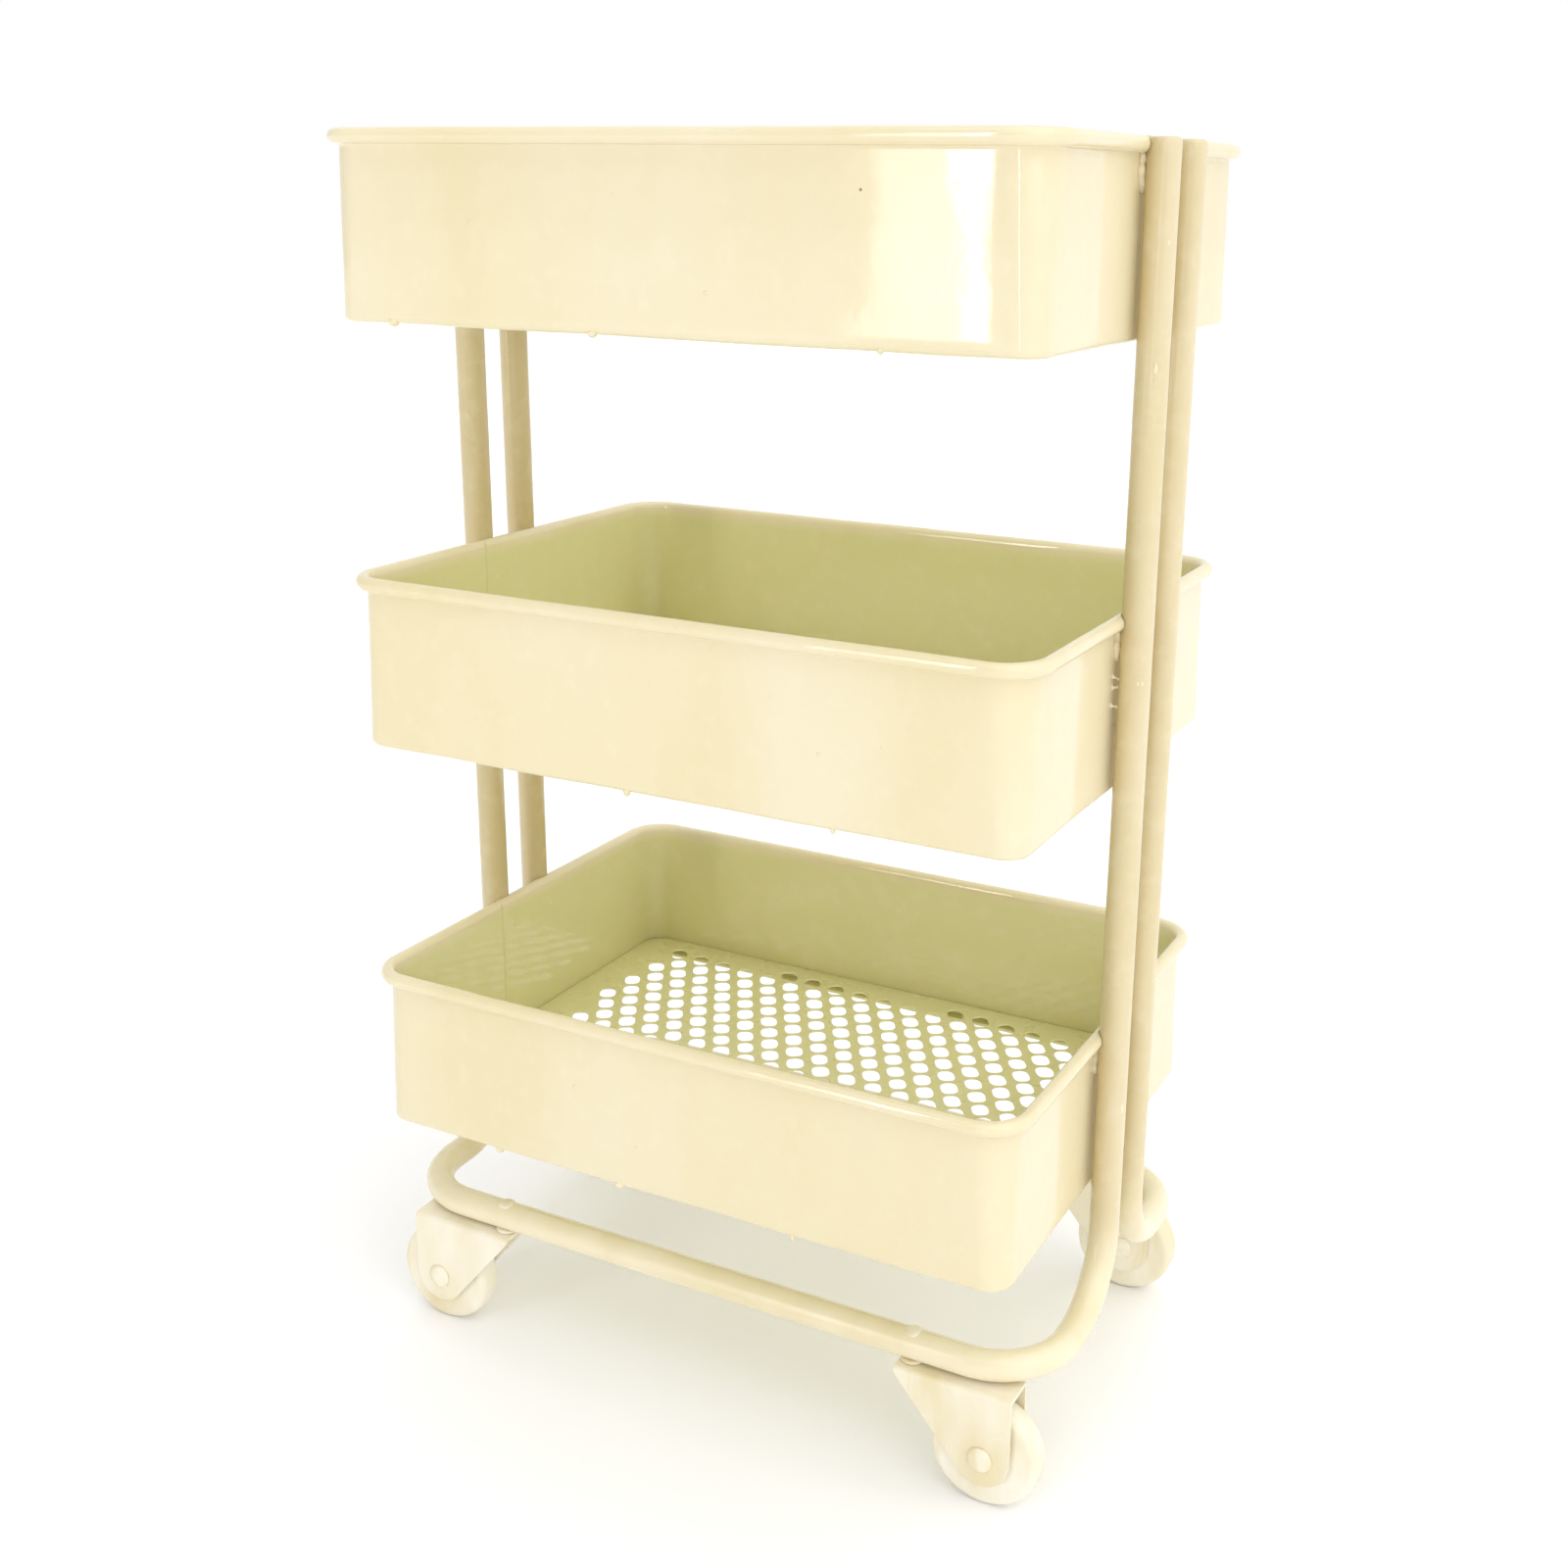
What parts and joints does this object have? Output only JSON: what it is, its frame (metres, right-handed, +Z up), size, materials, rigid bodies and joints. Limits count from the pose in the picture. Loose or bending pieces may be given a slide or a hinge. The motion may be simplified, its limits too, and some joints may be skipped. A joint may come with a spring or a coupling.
{
  "type": "miniature rolling utility cart",
  "caption": "Doll-scale metal utility cart: rolled-rim trays with perforated floors, held between two bent-wire loops on swivelling casters.",
  "frame": {"origin": "on the ground, under the middle of the cart", "axes": "+X along the long side, -Y towards the front, +Z up"},
  "size_m": [0.0792, 0.0548, 0.1286],
  "materials": {
    "tray_enamel": "glossy brushed and dipped enamel on sheet steel",
    "floor_enamel": "glossy enamel on perforated sheet",
    "frame_enamel": "glossy thick enamel on round wire",
    "solder_enamel": "enamel over rough solder",
    "bracket_enamel": "satin enamel on folded sheet",
    "rivet_enamel": "enamel on rivet steel",
    "wheel_enamel": "satin enamel on a turned wheel"
  },
  "bodies": {
    "cart": {"front_frame_loop": "frame_enamel", "rear_frame_loop": "frame_enamel", "top_tray": "tray_enamel", "top_tray_floor": "floor_enamel", "top_solder_joints": "solder_enamel", "middle_tray": "tray_enamel", "middle_tray_floor": "floor_enamel", "middle_solder_joints": "solder_enamel", "bottom_tray": "tray_enamel", "bottom_tray_floor": "floor_enamel", "bottom_solder_joints": "solder_enamel", "front_left_kingpin": "rivet_enamel", "front_left_spacer_washer": "rivet_enamel", "front_right_kingpin": "rivet_enamel", "front_right_spacer_washer": "rivet_enamel", "rear_left_kingpin": "rivet_enamel", "rear_left_spacer_washer": "rivet_enamel", "rear_right_kingpin": "rivet_enamel", "rear_right_spacer_washer": "rivet_enamel"},
    "front_left_caster": {"front_left_caster_bracket": "bracket_enamel", "front_left_axle_rivet": "rivet_enamel"},
    "front_left_wheel": {"front_left_wheel": "wheel_enamel"},
    "front_right_caster": {"front_right_caster_bracket": "bracket_enamel", "front_right_axle_rivet": "rivet_enamel"},
    "front_right_wheel": {"front_right_wheel": "wheel_enamel"},
    "rear_left_caster": {"rear_left_caster_bracket": "bracket_enamel", "rear_left_axle_rivet": "rivet_enamel"},
    "rear_left_wheel": {"rear_left_wheel": "wheel_enamel"},
    "rear_right_caster": {"rear_right_caster_bracket": "bracket_enamel", "rear_right_axle_rivet": "rivet_enamel"},
    "rear_right_wheel": {"rear_right_wheel": "wheel_enamel"}
  },
  "joints": [
    {"name": "front_left_swivel", "type": "hinge", "parent": "cart", "child": "front_left_caster", "pos_m": [-0.0247, -0.0207, 0.01295], "axis": [0, 0, 1], "continuous": true},
    {"name": "front_left_roll", "type": "hinge", "parent": "front_left_caster", "child": "front_left_wheel", "pos_m": [-0.033, -0.0207, 0.0057], "axis": [0, 1, 0], "continuous": true},
    {"name": "front_right_swivel", "type": "hinge", "parent": "cart", "child": "front_right_caster", "pos_m": [0.0247, -0.0207, 0.01295], "axis": [0, 0, 1], "continuous": true},
    {"name": "front_right_roll", "type": "hinge", "parent": "front_right_caster", "child": "front_right_wheel", "pos_m": [0.033, -0.0207, 0.0057], "axis": [0, 1, 0], "continuous": true},
    {"name": "rear_left_swivel", "type": "hinge", "parent": "cart", "child": "rear_left_caster", "pos_m": [-0.0247, 0.0207, 0.01295], "axis": [0, 0, 1], "continuous": true},
    {"name": "rear_left_roll", "type": "hinge", "parent": "rear_left_caster", "child": "rear_left_wheel", "pos_m": [-0.033, 0.0207, 0.0057], "axis": [0, 1, 0], "continuous": true},
    {"name": "rear_right_swivel", "type": "hinge", "parent": "cart", "child": "rear_right_caster", "pos_m": [0.0247, 0.0207, 0.01295], "axis": [0, 0, 1], "continuous": true},
    {"name": "rear_right_roll", "type": "hinge", "parent": "rear_right_caster", "child": "rear_right_wheel", "pos_m": [0.033, 0.0207, 0.0057], "axis": [0, 1, 0], "continuous": true}
  ]
}
